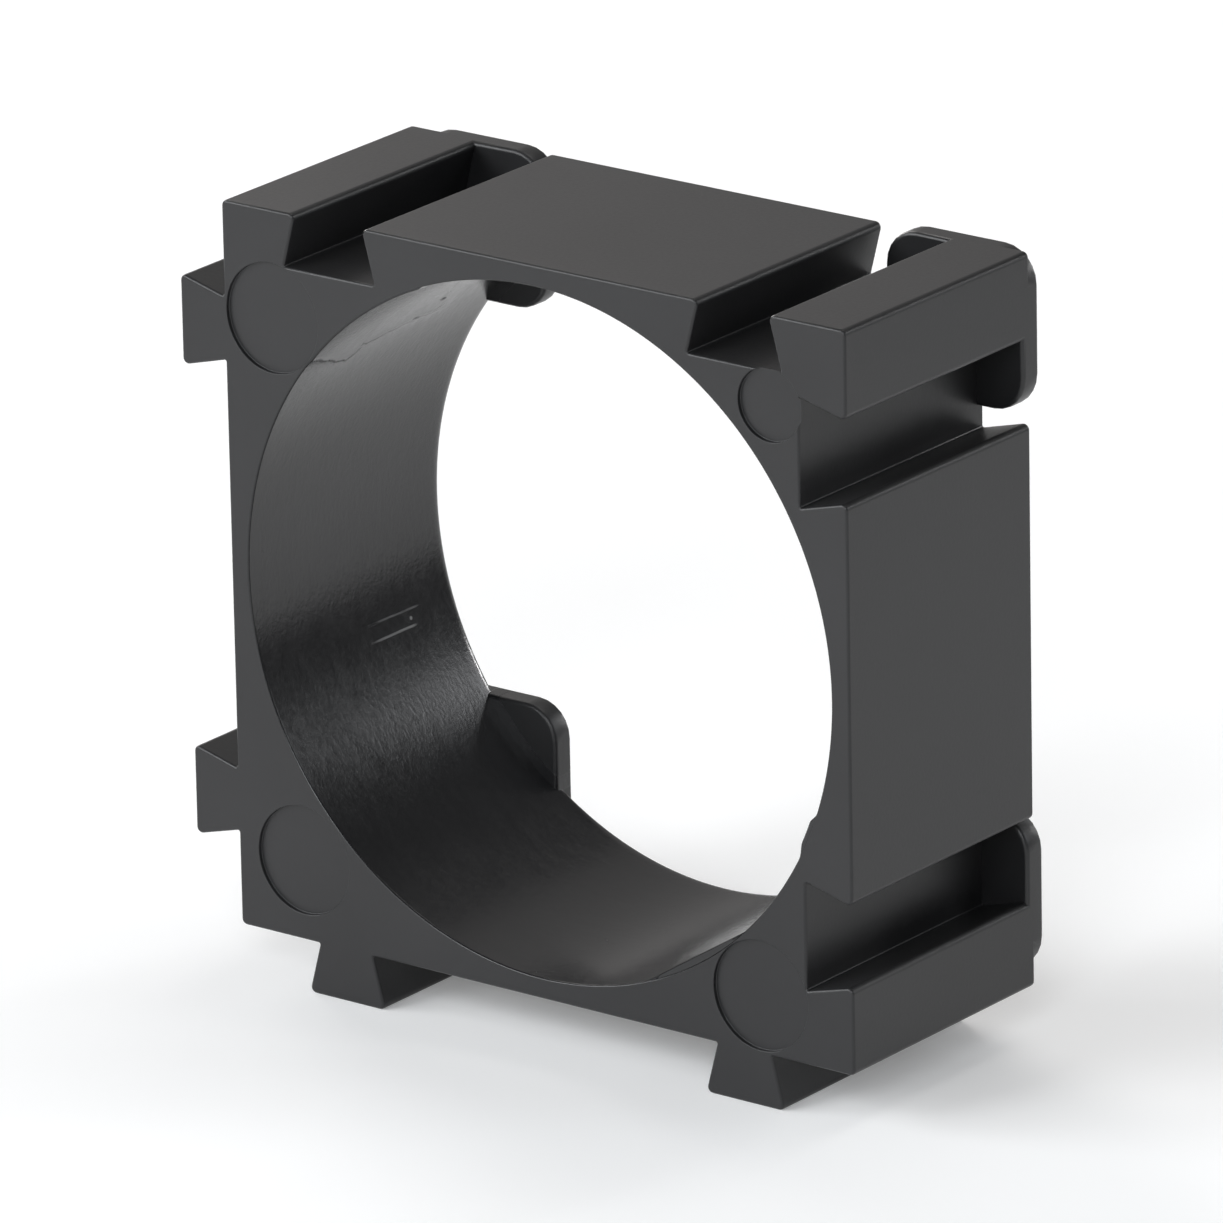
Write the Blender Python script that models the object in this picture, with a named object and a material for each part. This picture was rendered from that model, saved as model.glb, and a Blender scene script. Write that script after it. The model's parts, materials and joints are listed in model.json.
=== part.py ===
"""Battery cell holder bracket, one moulded piece of black ABS plastic.

A square frame slides over one end of a round cell. Two of its sides carry
dovetail tongues and the other two carry the matching grooves, so that
brackets slide together into a block of any size. A rounded plate across each
corner of the rear face reaches into the hole and stops the cell.

Metres, +Z up. The front face looks along -Y and the hole runs along Y. The
bracket stands on its two lower tongues, with the origin under the middle of
its bounding box.
"""
import math

import bmesh
import bpy
from mathutils import Matrix, Vector

# Frame: a square body with a round hole that a 32 mm cell slides into
cell_diameter = 0.032
cell_clearance = 0.0006
thin_wall = 0.001
wall_depth = 0.0138
hole_draft = math.radians(0.8)
lip_radius = 0.00025
edge_chamfer = 0.00012
cell_hole_diameter = cell_diameter + cell_clearance
side = cell_hole_diameter + 2 * thin_wall

# Dovetails: two on each side, placed and sized as shares of it
dovetail_share = 0.175
neck_share = 0.088
head_share = 0.127
tongue_height = 0.0025
flank_clearance = 0.00035
floor_clearance = 0.00005

# Corner plates on the rear face, each one a stop for the cell
plate_share = 0.217
plate_thickness = 0.0012
plate_proud = 0.0007
plate_inset = 0.00055
plate_corner_radius = 0.0017
plate_edge_chamfer = 0.00015

# Round recesses that the ejector pins leave in the front face
pin_mark_depth = 0.0003
pin_diameter = 0.0050
small_pin_diameter = 0.0036
mixed_pin_wall_gap = 0.00275
mixed_pin_end_gap = 0.0051
tongue_pin_gap = 0.00375
groove_pin_gap = 0.00415

# How finely round forms are drawn
hole_segments = 160
pin_segments = 48
lip_segments = 3
plate_corner_segments = 8
chamfer_segments = 1

# How far a cutter runs past what it cuts
cut_overrun = 0.001

# Edges that turn more than this are chamfered, and shaded sharp
chamfer_angle = math.radians(50)
sharp_angle = math.radians(28)

# Satin black ABS
plastic_color = (0.068, 0.068, 0.071, 1.0)
plastic_roughness = 0.42
plastic_metallic = 0.0


def clear_scene():
    for item in list(bpy.data.objects):
        bpy.data.objects.remove(item, do_unlink=True)


def plastic():
    material = bpy.data.materials.new("black_abs")
    material.use_nodes = True
    surface = material.node_tree.nodes["Principled BSDF"]
    surface.inputs["Base Color"].default_value = plastic_color
    surface.inputs["Roughness"].default_value = plastic_roughness
    surface.inputs["Metallic"].default_value = plastic_metallic
    return material


def body_corner():
    """Where the lower left corner of the square front face lies."""
    half_width = (side - tongue_height) / 2
    half_depth = (wall_depth + plate_proud) / 2
    return Vector((-half_width, -half_depth, tongue_height))


def add_object(name, bm):
    """Turns a bmesh, drawn from the body's corner, into a placed object."""
    bmesh.ops.recalc_face_normals(bm, faces=bm.faces)
    mesh = bpy.data.meshes.new(name)
    bm.to_mesh(mesh)
    bm.free()
    item = bpy.data.objects.new(name, mesh)
    item.location = body_corner()
    bpy.context.scene.collection.objects.link(item)
    return item


def extrude_back(bm, face, depth):
    """Pushes a front face back by a depth and returns the lengthwise edges."""
    made = bmesh.ops.extrude_face_region(bm, geom=[face])
    moved = [part for part in made["geom"] if isinstance(part, bmesh.types.BMVert)]
    bmesh.ops.translate(bm, verts=moved, vec=Vector((0, depth, 0)))
    pushed = set(moved)
    return [edge for edge in bm.edges if len(pushed.intersection(edge.verts)) == 1]


def round_edges(bm, edges, radius, segments):
    bmesh.ops.bevel(
        bm,
        geom=edges,
        offset=radius,
        segments=segments,
        profile=0.5,
        affect="EDGES",
    )


def dovetail(middle, neck, head, reach):
    """Four corners of a dovetail on a side: (along the side, outward)."""
    return [
        (middle - neck / 2, 0),
        (middle - head / 2, reach),
        (middle + head / 2, reach),
        (middle + neck / 2, 0),
    ]


def side_profile(is_grooved):
    """Corners of one side of the frame: its start, then its two dovetails."""
    offset = dovetail_share * side
    neck = neck_share * side
    head = head_share * side
    reach = tongue_height
    if is_grooved:
        neck += 2 * flank_clearance
        head += 2 * flank_clearance
        reach = -(tongue_height + floor_clearance)
    corners = [(0, 0)]
    for middle in (offset, side - offset):
        corners += dovetail(middle, neck, head, reach)
    return corners


def frame_outline():
    """Goes round the square: bottom and left tongued, right and top grooved."""
    walk = [
        (Vector((0, 0)), Vector((1, 0)), Vector((0, -1)), False),
        (Vector((side, 0)), Vector((0, 1)), Vector((1, 0)), True),
        (Vector((side, side)), Vector((-1, 0)), Vector((0, 1)), True),
        (Vector((0, side)), Vector((0, -1)), Vector((-1, 0)), False),
    ]
    outline = []
    for start, along, outward, is_grooved in walk:
        for distance, reach in side_profile(is_grooved):
            outline.append(start + along * distance + outward * reach)
    return outline


def lies_outside(corner, before, after):
    """True where the outline turns left, so that the corner stands out."""
    return (corner - before).cross(after - corner) > 0


def outer_corners(outline):
    count = len(outline)
    return [
        outline[index]
        for index in range(count)
        if lies_outside(outline[index], outline[index - 1], outline[(index + 1) % count])
    ]


def frame_body():
    """The dovetailed square, with its outer corners rounded along the depth."""
    outline = frame_outline()
    standing_out = outer_corners(outline)
    bm = bmesh.new()
    face = bm.faces.new([bm.verts.new((point.x, 0, point.y)) for point in outline])
    lengthwise = extrude_back(bm, face, wall_depth)
    lips = []
    for edge in lengthwise:
        place = Vector((edge.verts[0].co.x, edge.verts[0].co.z))
        if min((place - corner).length for corner in standing_out) < lip_radius:
            lips.append(edge)
    round_edges(bm, lips, lip_radius, lip_segments)
    return add_object("bracket", bm)


def add_pin(bm, x, z, front_diameter, back_diameter, front, back, segments):
    """A solid round pin along Y, straight or tapered, between two depths."""
    turn = Matrix.Rotation(math.radians(90), 4, "X")
    place = Matrix.Translation((x, (front + back) / 2, z))
    bmesh.ops.create_cone(
        bm,
        cap_ends=True,
        segments=segments,
        radius1=back_diameter / 2,
        radius2=front_diameter / 2,
        depth=back - front,
        matrix=place @ turn,
    )


def cell_hole_cutter():
    """The hole is as wide as named at the front, and narrows by its draft."""
    front = -cut_overrun
    back = wall_depth + cut_overrun
    front_diameter, back_diameter = (
        cell_hole_diameter - 2 * depth * math.tan(hole_draft) for depth in (front, back)
    )
    bm = bmesh.new()
    middle = side / 2
    add_pin(bm, middle, middle, front_diameter, back_diameter, front, back, hole_segments)
    return add_object("cell_hole_cutter", bm)


def pin_mark_cutter():
    """Three large pins and, between the grooves, a small one."""
    far = side - groove_pin_gap
    pins = [
        (tongue_pin_gap, tongue_pin_gap, pin_diameter),
        (mixed_pin_wall_gap, side - mixed_pin_end_gap, pin_diameter),
        (side - mixed_pin_end_gap, mixed_pin_wall_gap, pin_diameter),
        (far, far, small_pin_diameter),
    ]
    bm = bmesh.new()
    for x, z, diameter in pins:
        add_pin(bm, x, z, diameter, diameter, -cut_overrun, pin_mark_depth, pin_segments)
    return add_object("pin_mark_cutter", bm)


def corner_plates():
    """Four rounded plates, flush with the grooved sides, inset from the others."""
    width = plate_share * side
    near = plate_inset
    far = side - width
    bm = bmesh.new()
    for left in (near, far):
        for low in (near, far):
            add_plate(bm, left, low, width)
    plates = add_object("corner_plates", bm)
    add_chamfer(plates, plate_edge_chamfer)
    return plates


def add_plate(bm, left, low, width):
    """One rounded square plate, partly let into the rear of the walls."""
    front = wall_depth + plate_proud - plate_thickness
    right = left + width
    high = low + width
    places = [(left, low), (right, low), (right, high), (left, high)]
    face = bm.faces.new([bm.verts.new((x, front, z)) for x, z in places])
    lengthwise = extrude_back(bm, face, plate_thickness)
    round_edges(bm, lengthwise, plate_corner_radius, plate_corner_segments)


def add_chamfer(item, width):
    chamfer = item.modifiers.new("chamfer", "BEVEL")
    chamfer.width = width
    chamfer.segments = chamfer_segments
    chamfer.limit_method = "ANGLE"
    chamfer.angle_limit = chamfer_angle


def add_boolean(item, other, operation):
    combine = item.modifiers.new(other.name, "BOOLEAN")
    combine.object = other
    combine.operation = operation
    combine.solver = "EXACT"
    other.hide_render = True
    other.display_type = "WIRE"


def settle(item, helpers):
    """Keeps the finished mesh, without its modifiers and cutters."""
    view = bpy.context.evaluated_depsgraph_get()
    finished = bpy.data.meshes.new_from_object(item.evaluated_get(view))
    item.modifiers.clear()
    item.data = finished
    for helper in helpers:
        bpy.data.objects.remove(helper, do_unlink=True)


def make_bracket():
    bracket = frame_body()
    hole = cell_hole_cutter()
    plates = corner_plates()
    pin_marks = pin_mark_cutter()
    add_boolean(bracket, hole, "DIFFERENCE")
    add_chamfer(bracket, edge_chamfer)
    add_boolean(bracket, plates, "UNION")
    add_boolean(bracket, pin_marks, "DIFFERENCE")
    settle(bracket, [hole, plates, pin_marks])
    bracket.data.materials.clear()
    bracket.data.materials.append(plastic())
    bracket.data.shade_smooth()
    bracket.data.set_sharp_from_angle(angle=sharp_angle)
    return bracket


clear_scene()
make_bracket()
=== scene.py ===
"""Looks of the battery cell holder bracket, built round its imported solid.

One moulded piece of satin black plastic stands on a pale studio floor. Metres,
+Z up; the front face looks along -Y and the cell hole runs along Y.
"""

import json
import math

import bmesh
import bpy
import numpy as np
from mathutils import Euler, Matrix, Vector

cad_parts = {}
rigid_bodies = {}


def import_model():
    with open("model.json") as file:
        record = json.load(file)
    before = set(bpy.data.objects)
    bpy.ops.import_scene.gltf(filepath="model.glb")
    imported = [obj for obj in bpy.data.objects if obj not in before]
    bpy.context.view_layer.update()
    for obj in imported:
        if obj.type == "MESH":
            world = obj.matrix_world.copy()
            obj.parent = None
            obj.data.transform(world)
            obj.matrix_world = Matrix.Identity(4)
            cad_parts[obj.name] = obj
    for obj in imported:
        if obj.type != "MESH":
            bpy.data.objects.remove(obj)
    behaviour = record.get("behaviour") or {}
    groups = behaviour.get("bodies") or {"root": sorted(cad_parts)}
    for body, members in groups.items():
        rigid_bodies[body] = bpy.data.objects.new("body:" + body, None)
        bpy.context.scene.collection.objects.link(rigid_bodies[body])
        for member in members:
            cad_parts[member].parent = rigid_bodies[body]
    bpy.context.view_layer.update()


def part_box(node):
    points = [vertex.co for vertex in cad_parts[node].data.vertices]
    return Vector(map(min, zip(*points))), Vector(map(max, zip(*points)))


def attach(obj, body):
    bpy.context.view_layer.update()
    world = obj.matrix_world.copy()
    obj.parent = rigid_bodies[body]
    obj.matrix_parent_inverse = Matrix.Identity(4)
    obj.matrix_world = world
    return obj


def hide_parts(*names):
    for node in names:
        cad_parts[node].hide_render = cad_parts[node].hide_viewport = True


for leftover in list(bpy.data.objects):
    bpy.data.objects.remove(leftover, do_unlink=True)

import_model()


# The moulded body
# A square frame of black ABS, moulded in one shot: dovetail tongues on the
# left and below, the matching grooves on the right and above, a round hole
# for the cell's end. The mould leaves every outer edge slightly rounded.

side = 0.0346
dovetail_offset = 0.175 * side
tongue_neck = 0.088 * side
tongue_head = 0.127 * side
groove_extra = 0.0007
groove_depth = 0.00255
corner_radius = 0.00028
inner_radius = 0.00008
edge_radius = 0.00014
arc_points = 7
edge_points = 5
plate_proud = 0.0007

low, high = (np.array(corner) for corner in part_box("bracket"))
tongue_height = high[0] - low[0] - side
front = low[1]
wall_back = high[1] - plate_proud
body_corner = np.array([high[0] - side, high[2] - side])


def side_corners(neck, head, reach):
    """Corners of one side as (along, outward): its start, then two dovetails.

    Each dovetail is neck, head, head, neck, half its width either side of a
    middle that lies the same distance from its own end of the side.
    """
    middles = np.array([[dovetail_offset], [side - dovetail_offset]])
    along = middles + np.array([-neck, -head, head, neck]) / 2
    outward = np.array([0, reach, reach, 0]) + 0 * middles
    dovetails = np.stack([along, outward], axis=-1).reshape(-1, 2)
    return np.vstack([np.zeros((1, 2)), dovetails])


def frame_corners():
    """Goes round the square: each side's corners are turned a quarter more."""
    tongued = side_corners(tongue_neck, tongue_head, tongue_height)
    neck = tongue_neck + groove_extra
    grooved = side_corners(neck, tongue_head + groove_extra, -groove_depth)
    starts = side * np.array([[0, 0], [1, 0], [1, 1], [0, 1]])
    along = np.array([[1, 0], [0, 1], [-1, 0], [0, -1]])
    outward = np.array([[0, -1], [1, 0], [0, 1], [-1, 0]])
    profiles = np.stack([tongued, grooved, grooved, tongued])
    placed = (
        starts[:, None]
        + profiles[:, :, :1] * along[:, None]
        + profiles[:, :, 1:] * outward[:, None]
    )
    return placed.reshape(-1, 2) + body_corner


def turned(vectors, angles):
    """Vectors (..., 2) turned left by angles: (x cos - y sin, x sin + y cos)."""
    cos, sin = np.cos(angles), np.sin(angles)
    x, y = vectors[..., 0], vectors[..., 1]
    return np.stack([x * cos - y * sin, x * sin + y * cos], axis=-1)


def rounded_line(corners, outer, inner):
    """Closed line with an arc at each corner, and its outward normals.

    A corner that turns by t becomes an arc of radius r from r tan(t / 2)
    before it. The normal turns evenly from one straight's to the next one's,
    and each point lies r along it from the arc's centre.
    """
    before = corners - np.roll(corners, 1, axis=0)
    before /= np.linalg.norm(before, axis=1, keepdims=True)
    after = np.roll(before, -1, axis=0)
    cross = before[:, 0] * after[:, 1] - before[:, 1] * after[:, 0]
    turn = np.arctan2(cross, (before * after).sum(1))
    radius = np.where(turn > 0, outer, -inner)
    tangent = np.abs(radius) * np.tan(np.abs(turn) / 2)
    first_normal = np.stack([before[:, 1], -before[:, 0]], axis=-1)
    centre = corners - before * tangent[:, None] - first_normal * radius[:, None]
    share = np.linspace(0, 1, arc_points)
    normals = turned(first_normal[:, None], turn[:, None] * share)
    points = centre[:, None] + normals * radius[:, None, None]
    return points.reshape(-1, 2), normals.reshape(-1, 2)


def edge_profile(start, end, radius):
    """(inset, depth) from the front edge to the rear one, both quarter round.

    At the angle a the rounding lies radius (1 - sin a) inside the wall and
    radius (1 - cos a) behind the face.
    """
    angle = np.linspace(0, math.pi / 2, edge_points)
    inset = radius * (1 - np.sin(angle))
    depth = radius * (1 - np.cos(angle))
    front_edge = np.stack([inset, start + depth], axis=-1)
    rear_edge = np.stack([inset, end - depth], axis=-1)[::-1]
    return np.vstack([front_edge, rear_edge])


def rings(points, normals, profile):
    """Carries a profile along a closed line: each ring is the line moved in
    along its normals by the inset, and set at the depth, as (x, depth, z)."""
    flat = points[None] - normals[None] * profile[:, 0, None, None]
    depth = np.broadcast_to(profile[:, 1, None], flat.shape[:2])
    return np.stack([flat[..., 0], depth, flat[..., 1]], axis=-1)


def closed_solid(name, grid):
    """Mesh of rings (rows, around, 3) that run front to back, capped by the
    first and last ring. The line goes left round the hole's axis as seen from
    the front, so that the faces point outwards."""
    rows, around = grid.shape[:2]
    index = np.arange(rows * around).reshape(rows, around)
    here, below = index[:-1], index[1:]
    quads = np.stack(
        [here, below, np.roll(below, -1, axis=1), np.roll(here, -1, axis=1)], axis=-1
    )
    faces = quads.reshape(-1, 4).tolist()
    faces += [index[0].tolist(), index[-1, ::-1].tolist()]
    mesh = bpy.data.meshes.new(name)
    mesh.from_pydata(grid.reshape(-1, 3), [], faces)
    mesh.update()
    item = bpy.data.objects.new(name, mesh)
    bpy.context.scene.collection.objects.link(item)
    return item


outline, outline_normals = rounded_line(frame_corners(), corner_radius, inner_radius)
moulding = closed_solid(
    "bracket_moulding",
    rings(outline, outline_normals, edge_profile(front, wall_back, edge_radius)),
)


# The cell hole
# The steel core leaves a smooth bore that narrows slightly towards the rear,
# with a lip at both ends. Where inserts of the mould meet, a low pad with a
# thin flash, a flat strip and a nub at the rim stand out of it.

hole_radius = 0.0163
hole_draft = math.tan(math.radians(0.8))
hole_centre = body_corner + side / 2
wall_depth = wall_back - front
front_lip = 0.00010
rear_lip = 0.00012
rear_lip_length = 0.00050
lip_points = 6
overrun = 0.001

# The pad's side as (depth, degrees round the hole), its far end as (degrees,
# depth), and each pit as (degrees, depth, length as a share of its width)
pad_start = math.radians(112)
pad_height = 0.00002
pad_edge = 0.00006
foot_height = 0.00004
foot_length = 0.00035
pad_side = np.array(
    [
        (0.0000, 139.4),
        (0.0005, 140.2),
        (0.0016, 141.6),
        (0.0034, 143.9),
        (0.0038, 142.5),
        (0.0041, 141.5),
        (0.0047, 140.4),
        (0.0056, 139.7),
        (0.0064, 139.3),
        (0.0074, 139.0),
        (0.0090, 138.5),
    ]
)
pad_end = np.array(
    [
        (112, 0.0079),
        (130.3, 0.0080),
        (133.6, 0.0085),
        (136.9, 0.0091),
        (138.5, 0.0089),
    ]
)
flash_height = 0.000006
flash_width = 0.00010
flash_inset = 1.6
pit_depth = 0.00006
pit_size = 0.00007
pits = np.array([(141.0, 0.0041, 1.2), (138.5, 0.0073, 2.4), (134.6, 0.0084, 2.2)])
ragged_waves = np.array([0.0031, 0.0012, 0.00047])
ragged_heights = np.array([0.00003, 0.00004, 0.00002])
ragged_phase = 900

strip_middle = math.radians(302.5)
strip_half = math.radians(11.55)
strip_start = 0.00012
strip_round = 0.00010
strip_fade = (0.0020, 0.0048)

# Where the nub starts and ends round the hole, each with how softly it does
nub_height = 0.00021
nub_start = (math.radians(-26.5), 0.00043)
nub_end = (math.radians(-20.2), 0.00031)
nub_fade = (0.0006, 0.0012)


def soft_step(value, width):
    """0 to 1 as the value runs from -width to width, 3 t^2 - 2 t^3."""
    share = np.clip(value / (2 * width) + 0.5, 0, 1)
    return share * share * (3 - 2 * share)


def fade(value, start, end):
    """1 before start and 0 after end, smooth between them."""
    return soft_step((start + end) / 2 - value, (end - start) / 2)


def lip(depth, height, length):
    """How far a quarter of an ellipse widens the hole at a depth behind its
    edge: height (1 - sqrt(1 - (1 - depth / length)^2)), and nothing deeper."""
    short = np.clip(1 - depth / length, 0, 1)
    return height * (1 - np.sqrt(1 - short**2))


def ragged(along):
    """A wandering line: the sum of three sines with unlike wavelengths."""
    turns = 2 * math.pi * along[..., None] / ragged_waves + ragged_waves * ragged_phase
    return (ragged_heights * np.sin(turns)).sum(-1)


def pad(angle, depth):
    """Height of the pad: a small step on a foot that dies away outside its
    outline as exp(distance / foot_length), with a thin flash along the step.

    The distance to the outline is the lesser of the arc to its side and the
    way to its far end. The pits are small round dents with Gaussian sides.
    """
    side_angle = np.radians(np.interp(depth, *pad_side.T))
    end_depth = np.interp(np.degrees(angle), *pad_end.T)
    to_side = hole_radius * (side_angle - angle) + ragged(depth)
    to_end = end_depth - depth + ragged(hole_radius * angle)
    inward = np.minimum(to_side, to_end)
    begun = soft_step(hole_radius * (angle - pad_start), pad_edge)
    flash = np.exp(-((inward / flash_width - flash_inset) ** 2))
    around = hole_radius * (angle[..., None] - np.radians(pits[:, 0])) / pit_size
    along = (depth[..., None] - pits[:, 1]) / (pit_size * pits[:, 2])
    dents = np.exp(-(around**2 + along**2) / 2).sum(-1)
    foot = foot_height * np.exp(np.minimum(inward, 0) / foot_length)
    step = pad_height * soft_step(inward, pad_edge) + flash_height * flash
    return begun * (foot + step - pit_depth * dents)


def strip(angle, depth):
    """Height of the flat strip: how far a chord across its two edges lies
    inside the circle, with a rounded front edge, fading towards the rear."""
    across = np.clip(angle - strip_middle, -strip_half, strip_half)
    chord = hole_radius * (1 - math.cos(strip_half) / np.cos(across))
    behind = depth - strip_start
    standing = np.maximum(chord - lip(behind, strip_round, strip_round), 0)
    return np.where(behind > 0, standing, 0) * fade(depth, *strip_fade)


def nub(angle, depth):
    """Height of the nub: a low hump on the rim between two soft steps."""
    turn = (angle + math.pi) % (2 * math.pi) - math.pi
    begun = soft_step(hole_radius * (turn - nub_start[0]), nub_start[1])
    ended = soft_step(hole_radius * (nub_end[0] - turn), nub_end[1])
    return nub_height * begun * ended * fade(depth, *nub_fade)


def bore_angles():
    """Angles round the hole, close together where a form needs it. A span is
    (start, end, step) in degrees, and angles that meet are kept once."""
    spans = [
        (0, 360, 1.5),
        (110.5, 113.5, 0.3),
        (113.5, 128, 0.75),
        (128, 148, 0.15),
        (288, 317, 0.75),
        (330, 343, 0.4),
    ]
    angles = np.concatenate([np.arange(*span) for span in spans])
    return np.radians(np.unique(np.round(angles, 3)))


def bore_depths():
    """Depths along the hole, close together in the lips and the pad. A span
    is (start, end, step) in metres, and depths that meet are kept once."""
    bend = 1 - np.cos(np.linspace(0, math.pi / 2, lip_points))
    spans = [
        (0.00012, 0.00028, 0.00002),
        (0.00030, 0.00760, 0.00011),
        (0.00760, 0.00940, 0.00006),
        (0.00940, wall_depth - rear_lip_length, 0.00050),
    ]
    rows = [front_lip * bend]
    rows += [np.arange(*span) for span in spans]
    rows += [wall_depth - rear_lip_length * bend, [-overrun, wall_depth + overrun]]
    return np.unique(np.round(np.concatenate(rows), 6))


angle, depth = np.meshgrid(bore_angles(), bore_depths())
bore_radius = (
    hole_radius
    - depth * hole_draft
    + lip(depth, front_lip, front_lip)
    + lip(wall_depth - depth, rear_lip, rear_lip_length)
    - pad(angle, depth)
    - strip(angle, depth)
    - nub(angle, depth)
)
core = closed_solid(
    "core",
    np.stack(
        [
            hole_centre[0] + bore_radius * np.cos(angle),
            front + depth,
            hole_centre[1] + bore_radius * np.sin(angle),
        ],
        axis=-1,
    ),
)


# The corner plates
# A rounded square plate lies across each corner of the rear face, moulded on,
# and reaches into the hole to stop the cell. It is flush with the grooved
# sides and set in a little from the tongued ones.

plate_width = 0.217 * side
plate_thickness = 0.0012
plate_inset = 0.00055
plate_radius = 0.0017
plate_edge = 0.0002


def plate(name, left, bottom):
    """A rounded square slab, its rear at the back of the bracket."""
    start = body_corner + np.array([left, bottom])
    square = start + plate_width * np.array([[0, 0], [1, 0], [1, 1], [0, 1]])
    line, normals = rounded_line(square, plate_radius, inner_radius)
    profile = edge_profile(high[1] - plate_thickness, high[1], plate_edge)
    return closed_solid(name, rings(line, normals, profile))


far = side - plate_width
plates = [
    plate("plate", left, bottom)
    for left in (plate_inset, far)
    for bottom in (plate_inset, far)
]


# The ejector pin marks
# Round pins push the cooled frame off the mould. They leave shallow round
# recesses in the front face: three large ones, and a small one between the
# grooves. Each is (across, up, radius) from the body's corner.

pin_depth = 0.0002
pin_lip = 0.00004
pin_points = 96
brim_points = 5
pin_marks = [
    (0.00375, 0.00385, 0.0026),
    (0.00275, side - 0.0051, 0.0026),
    (side - 0.0051, 0.00275, 0.0026),
    (side - 0.00415, side - 0.00415, 0.0017),
]


def pin_cutter(across, up, radius):
    """A round cutter whose foot is pin_depth deep. Its brim and its foot are
    quarter round: pin_lip (1 - sin a) beside and pin_lip (1 - cos a) behind."""
    turn = np.linspace(0, 2 * math.pi, pin_points, endpoint=False)
    ring = np.stack([np.cos(turn), np.sin(turn)], axis=-1)
    bend = np.linspace(0, math.pi / 2, brim_points)
    beside = pin_lip * (1 - np.sin(bend))
    behind = pin_lip * (1 - np.cos(bend))
    brim = np.stack([-beside, behind], axis=-1)
    foot = np.stack([behind, pin_depth - beside], axis=-1)
    profile = np.vstack([[brim[0, 0], -overrun], brim, foot])
    profile[:, 1] += front
    centre = body_corner + np.array([across, up])
    return closed_solid("pin", rings(centre + radius * ring, ring, profile))


pins = [pin_cutter(*mark) for mark in pin_marks]


# The finished moulding
# One shot of plastic fills the whole mould, so the plates are one with the
# walls. The core and the pins leave their hollows when they draw back.

merge_distance = 1e-7
sharp_angle = math.radians(33)
flat_face_weight = 60


def combine(item, others, operation):
    """Adds or cuts each of the others in turn, then takes them away."""
    for other in others:
        step = item.modifiers.new(other.name, "BOOLEAN")
        step.object = other
        step.operation = operation
        step.solver = "EXACT"
    view = bpy.context.evaluated_depsgraph_get()
    finished = bpy.data.meshes.new_from_object(item.evaluated_get(view))
    item.modifiers.clear()
    item.data = finished
    for other in others:
        bpy.data.objects.remove(other, do_unlink=True)


def merge_points(mesh, distance):
    """Makes one point of those that the cuts left closer than a distance."""
    merged = bmesh.new()
    merged.from_mesh(mesh)
    bmesh.ops.remove_doubles(merged, verts=merged.verts, dist=distance)
    merged.to_mesh(mesh)
    merged.free()


combine(moulding, [core], "DIFFERENCE")
combine(moulding, plates, "UNION")
combine(moulding, pins, "DIFFERENCE")
merge_points(moulding.data, merge_distance)
moulding.data.name = moulding.name
moulding.data.shade_smooth()
moulding.data.set_sharp_from_angle(angle=sharp_angle)
even = moulding.modifiers.new("flat faces stay flat", "WEIGHTED_NORMAL")
even.keep_sharp = True
even.weight = flat_face_weight
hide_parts("bracket")
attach(moulding, "root")


# The plastic
# Black ABS, nearly black in itself and grey from its sheen, with a fine satin
# grain on the outside. The bore is smoother and faintly mottled by its turned
# core, with two thin draw marks and a dot low on the left.

plastic_ior = 1.5
plastic_tones = [
    (0.3, (0.0110, 0.0110, 0.0118, 1)),
    (0.7, (0.0150, 0.0150, 0.0160, 1)),
]
worn_tone = (0.16, 0.16, 0.16, 1)

# Waves a metre round and along the hole, then the noise's detail and roughness
grain_waves = (5200, 5200, 3.0, 0.6)
flow_waves = (110, 110, 2.0, 0.5)
mottle_waves = (650, 1700, 3.0, 0.6)
drawn_waves = (2600, 130, 4.0, 0.65)
speck_waves = (3400, 5000, 2.0, 0.7)

# Roughness of each surface, and how much each pattern sways it
outside_roughness = 0.40
bore_roughness = 0.22
mark_roughness = 0.3
flow_sheen = 0.10
grain_sheen = 0.08
mottle_sheen = 0.12
speck_sheen = 0.16

# Height of each pattern, as a share of the relief
relief_height = 0.00001
flow_relief = 0.8
grain_relief = 0.5
mottle_relief = 0.6
speck_relief = 0.8
drawn_relief = 0.08

# Over which distances outside the tapered hole its finish begins and ends
finish_begins = (-0.0006, -0.0005)
finish_ends = (0.00003, 0.00010)

# Over which distances right of the axis the specks lose which share
right_side = (0.002, 0.009)
speck_loss = 0.7

# Draw marks as (degrees round the hole, start, end), and a dot between them
draw_marks = [(197.1, 0.0068, 0.0114), (199.9, 0.0072, 0.0109)]
draw_mark_width = (0.00002, 0.00008)
draw_mark_begins = 0.0015
draw_mark_ends = 0.0006
draw_mark_breaks = (0.3, 0.55)
draw_mark_dot = (198.6, 0.0105)
dot_width = (0.00005, 0.00012)


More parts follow.
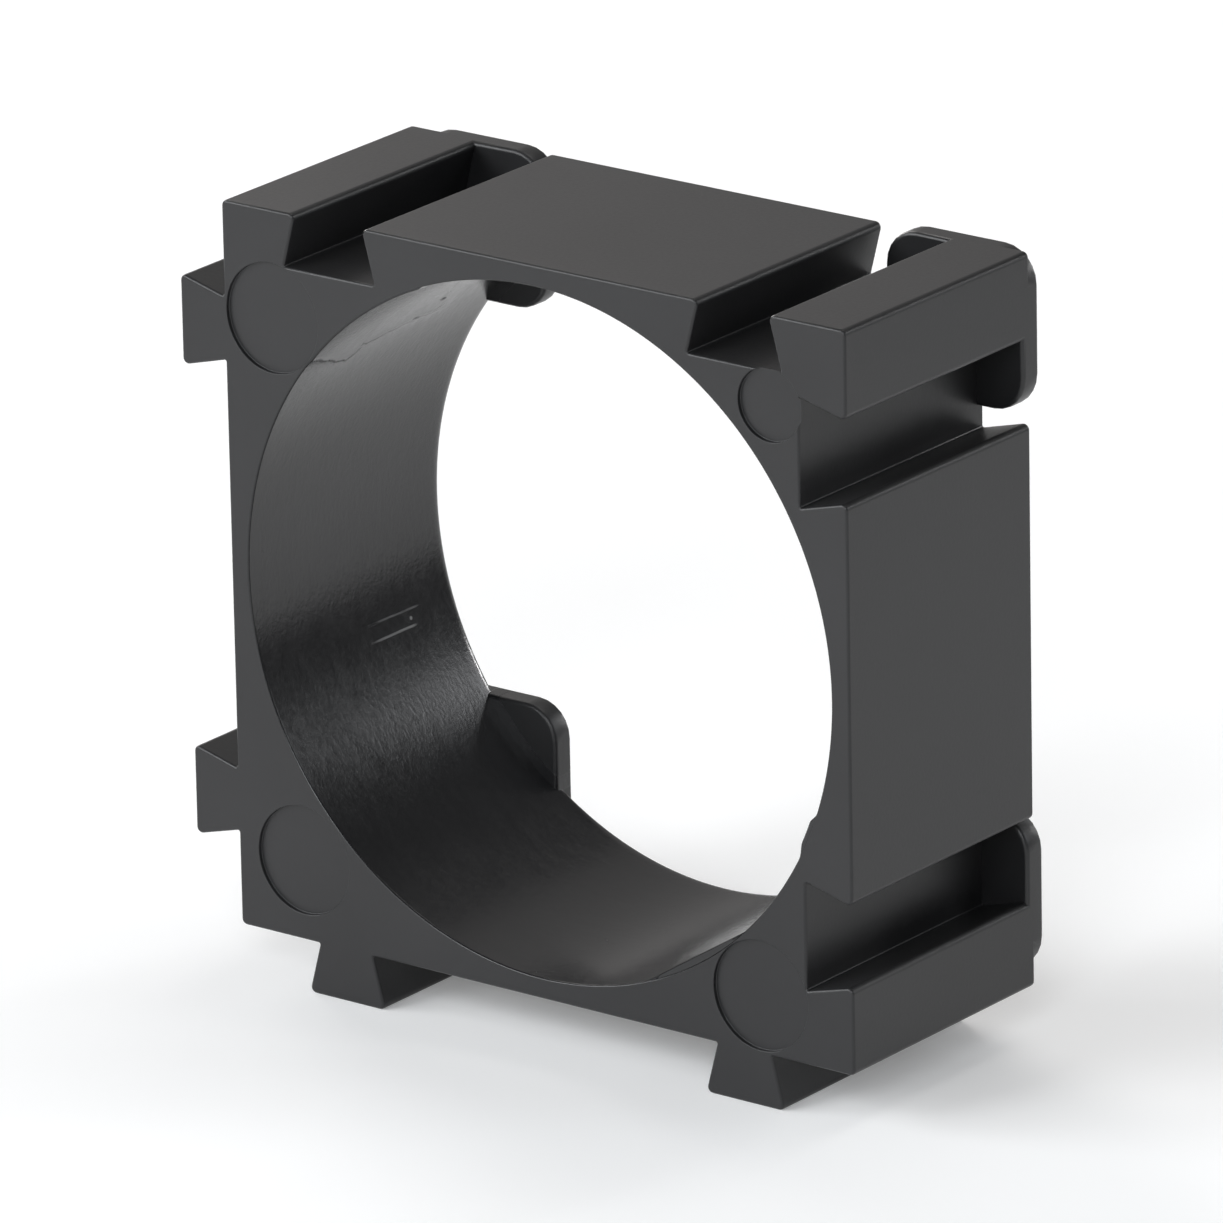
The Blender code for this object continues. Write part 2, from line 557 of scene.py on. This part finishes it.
class Shade:
    """A number or colour at each point of a surface, carried by a socket."""

    def __init__(self, tree, socket=None):
        self.tree = tree
        self.socket = socket

    def node(self, kind, settings, values, output=0):
        """Adds a node: its settings first, then the values or links it takes."""
        made = self.tree.nodes.new(kind)
        stops = settings.pop("stops", None)
        for name, value in settings.items():
            setattr(made, name, value)
        if stops:
            ramp = made.color_ramp.elements
            while len(ramp) < len(stops):
                ramp.new(1)
            for element, (place, colour) in zip(ramp, stops):
                element.position = place
                element.color = colour
        for name, value in values.items():
            if isinstance(value, Shade):
                self.tree.links.new(value.socket, made.inputs[name])
            else:
                made.inputs[name].default_value = value
        return Shade(self.tree, made.outputs[output])

    def math(self, operation, *values):
        settings = {"operation": operation}
        return self.node("ShaderNodeMath", settings, dict(enumerate(values)))

    def __add__(self, other):
        return self.math("ADD", self, other)

    def __sub__(self, other):
        return self.math("SUBTRACT", self, other)

    def __rsub__(self, other):
        return self.math("SUBTRACT", other, self)

    def __mul__(self, other):
        return self.math("MULTIPLY", self, other)

    __radd__ = __add__
    __rmul__ = __mul__

    def rise(self, start, end):
        """0 below start, 1 above end, smooth between them."""
        settings = {"interpolation_type": "SMOOTHSTEP"}
        values = {"Value": self, "From Min": start, "From Max": end}
        return self.node("ShaderNodeMapRange", settings, values)


def moulded_plastic():
    """Satin outside and smoother in the bore, each with its own patterns."""
    material = bpy.data.materials.new("satin_black_abs")
    material.use_nodes = True
    tree = material.node_tree
    surface = Shade(tree)
    place = surface.node("ShaderNodeTexCoord", {}, {}, "Object")
    x, y, z = (
        place.node("ShaderNodeSeparateXYZ", {}, {0: place}, axis) for axis in "XYZ"
    )
    across = x - float(hole_centre[0])
    up = z - float(hole_centre[1])
    depth = y - float(front)
    from_axis = surface.math("SQRT", across * across + up * up)
    from_wall = from_axis + depth * hole_draft - hole_radius
    in_bore = from_wall.rise(*finish_begins) * (1 - from_wall.rise(*finish_ends))

    def noise(around, along, detail, roughness):
        """Noise stretched to so many waves a metre round and along the hole."""
        point = {"X": across * around, "Y": depth * along, "Z": up * around}
        where = surface.node("ShaderNodeCombineXYZ", {}, point)
        values = {"Vector": where, "Scale": 1.0}
        values |= {"Detail": detail, "Roughness": roughness}
        return surface.node("ShaderNodeTexNoise", {}, values)

    grain = noise(*grain_waves)
    flow = noise(*flow_waves)
    mottle = noise(*mottle_waves)
    drawn = noise(*drawn_waves)
    right = across.rise(*right_side)
    speck = 0.5 + (noise(*speck_waves) - 0.5) * (1 - right * speck_loss)

    turn = surface.math("ARCTAN2", up, across) * hole_radius

    def arc_from(degrees):
        """How far round the hole a point lies from a place on its left."""
        return turn - hole_radius * math.radians(degrees - 360)

    marks = 0.0
    for degrees, start, end in draw_marks:
        beside = surface.math("ABSOLUTE", arc_from(degrees))
        begun = depth.rise(start, start + draw_mark_begins)
        length = begun * (1 - depth.rise(end - draw_mark_ends, end))
        marks = (1 - beside.rise(*draw_mark_width)) * length + marks
    beside = arc_from(draw_mark_dot[0])
    behind = depth - draw_mark_dot[1]
    dot = 1 - surface.math("SQRT", beside * beside + behind * behind).rise(*dot_width)
    marks = (marks * drawn.rise(*draw_mark_breaks) + dot) * in_bore

    # A Mix node's factor is socket 0, its colours are 6 and 7, its result is 2
    tone = surface.node("ShaderNodeValToRGB", {"stops": plastic_tones}, {"Fac": flow})
    mix = {0: marks, 6: tone, 7: worn_tone}
    colour = surface.node("ShaderNodeMix", {"data_type": "RGBA"}, mix, 2)

    rough_outside = outside_roughness + (flow - 0.5) * flow_sheen
    rough_outside = rough_outside + (grain - 0.5) * grain_sheen
    rough_bore = bore_roughness + (mottle - 0.5) * mottle_sheen
    rough_bore = rough_bore + (speck - 0.5) * speck_sheen + marks * mark_roughness
    roughness = rough_outside + in_bore * (rough_bore - rough_outside)

    in_hole = mottle * mottle_relief + speck * speck_relief + drawn * drawn_relief
    relief = (1 - in_bore) * grain * grain_relief + in_bore * in_hole
    relief = relief + flow * flow_relief
    values = {"Height": relief, "Strength": 1.0, "Distance": relief_height}
    bump = surface.node("ShaderNodeBump", {}, values)

    plastic = tree.nodes["Principled BSDF"]
    plastic.inputs["IOR"].default_value = plastic_ior
    tree.links.new(colour.socket, plastic.inputs["Base Color"])
    tree.links.new(roughness.socket, plastic.inputs["Roughness"])
    tree.links.new(bump.socket, plastic.inputs["Normal"])
    return material


moulding.data.materials.clear()
moulding.data.materials.append(moulded_plastic())


# The floor
# The bracket stands on a wide pale floor with a matt paint. It glows a little
# to the camera and in reflections, so that it looks white, and keeps the
# bracket's shadow.

floor_size = 6.0
floor_grey = 0.92
floor_specular = 0.1
floor_glow = 0.14
paint_roughness = 0.9


def matt_paint(name, grey):
    """A matt grey material, and the shader that it is made of."""
    paint = bpy.data.materials.new(name)
    paint.use_nodes = True
    shader = paint.node_tree.nodes["Principled BSDF"]
    shader.inputs["Base Color"].default_value = (grey, grey, grey, 1)
    shader.inputs["Roughness"].default_value = paint_roughness
    return paint, shader


def flat_sheet(name, corners, paint):
    """A flat sheet through four corners, which is not part of the bracket."""
    mesh = bpy.data.meshes.new(name)
    mesh.from_pydata(corners, [], [(0, 1, 2, 3)])
    mesh.materials.append(paint)
    sheet = bpy.data.objects.new(name, mesh)
    bpy.context.scene.collection.objects.link(sheet)
    return sheet


floor_paint, shader = matt_paint("pale_floor", floor_grey)
path = Shade(floor_paint.node_tree)
seen, mirrored, through = (
    path.node("ShaderNodeLightPath", {}, {}, ray)
    for ray in ("Is Camera Ray", "Is Glossy Ray", "Is Transmission Ray")
)
glow = (seen + mirrored + through) * floor_glow
shader.inputs["Specular IOR Level"].default_value = floor_specular
shader.inputs["Emission Strength"].default_value = 1.0
floor_paint.node_tree.links.new(glow.socket, shader.inputs["Emission Color"])
unit_square = np.array([[-1, -1, 0], [1, -1, 0], [1, 1, 0], [-1, 1, 0]])
floor = flat_sheet("floor", unit_square * floor_size / 2, floor_paint)


# The studio
# Soft round lamps stand all round, and two small ones low behind give the
# hole its glints. A low dark card behind on the right, which shows only in
# reflections, keeps the bottom of the hole dark.

middle = Vector((0, 0, 0.0186))
low_in_hole = Vector((-0.0122, 0.0020, 0.0110))
card_azimuth = 139
card_distance = 0.17
card_half_width = 0.07
card_height = 0.017
card_grey = 0.1
world_grey = 0.10
lamp_distance = 1.0
glint_distance = 0.069
cool = (0.96, 0.98, 1.0)
cooler = (0.94, 0.97, 1.0)
warm = (1.0, 0.97, 0.95)
faintly_warm = (1.0, 0.98, 0.96)
glint_white = (0.95, 0.97, 1.0)
plain_white = (1.0, 1.0, 1.0)


def towards(azimuth, elevation):
    """The direction turned right from the front by azimuth, up by elevation."""
    turn, rise = math.radians(azimuth), math.radians(elevation)
    flat = math.cos(rise)
    return Vector((math.sin(turn) * flat, -math.cos(turn) * flat, math.sin(rise)))


card_place = towards(card_azimuth, 0) * card_distance
card_across = towards(card_azimuth - 90, 0) * card_half_width
card_foot = [card_place - card_across, card_place + card_across]
card_head = [corner + Vector((0, 0, card_height)) for corner in reversed(card_foot)]
card_paint = matt_paint("dark_card", card_grey)[0]
card = flat_sheet("dark_card", card_foot + card_head, card_paint)
card.visible_camera = False
card.visible_diffuse = False
card.visible_shadow = False

world = bpy.data.worlds.new("studio")
world.use_nodes = True
surroundings = world.node_tree.nodes["Background"]
surroundings.inputs["Color"].default_value = (world_grey, world_grey, world_grey, 1)
bpy.context.scene.world = world


def lamp(
    name,
    azimuth,
    elevation,
    width,
    level,
    colour,
    distance=lamp_distance,
    target=middle,
):
    """A round lamp that faces its target, so many degrees wide from there.

    Met squarely, it lights a white surface to the level, where 1 is white:
    its power is pi^2 times the distance squared times the level.
    """
    light = bpy.data.lights.new(name, "AREA")
    light.shape = "DISK"
    light.size = 2 * distance * math.tan(math.radians(width / 2))
    light.energy = math.pi**2 * distance**2 * level
    light.color = colour
    item = bpy.data.objects.new(name, light)
    away = towards(azimuth, elevation)
    item.location = target + away * distance
    item.rotation_euler = away.to_track_quat("Z", "Y").to_euler()
    item.visible_camera = False
    bpy.context.scene.collection.objects.link(item)


lamp("left", 300, 28, 26, 0.357, cool)
lamp("left_front", 330, 28, 26, 0.425, cool)
lamp("low_front", 350, 11, 30, 0.173, cool)
lamp("right_front", 30, 28, 26, 0.352, cooler)
lamp("right_back", 120, 24, 26, 0.151, cooler)
lamp("left_back", 240, 24, 28, 0.219, warm)
lamp("low_left_back", 240, 10, 18, 0.188, warm)
lamp("back", 211, 25, 40, 0.040, warm)
lamp("overhead", 180, 68, 34, 0.170, faintly_warm)
lamp("glint", 149, 21, 10.4, 0.038, glint_white, glint_distance, low_in_hole)
lamp("rim_glint", 162.5, 11.5, 9, 0.17, plain_white, lamp_distance, low_in_hole)


# The camera
# It looks at the middle of the bracket from the right and a little above, as
# a long lens does from 0.6 m.

camera_azimuth = 37.42
camera_elevation = 18.96
camera_distance = 0.611
camera_roll = math.radians(-1.09)

back = towards(camera_azimuth, camera_elevation)
lens = bpy.data.cameras.new("camera")
lens.lens = 400
lens.clip_start = 0.01
lens.clip_end = 20
camera = bpy.data.objects.new("camera", lens)
camera.location = middle + back * camera_distance
camera.rotation_mode = "QUATERNION"
rolled = Euler((0, 0, camera_roll)).to_quaternion()
camera.rotation_quaternion = back.to_track_quat("Z", "Y") @ rolled
bpy.context.scene.collection.objects.link(camera)
bpy.context.scene.camera = camera
bpy.context.scene.view_settings.view_transform = "Standard"
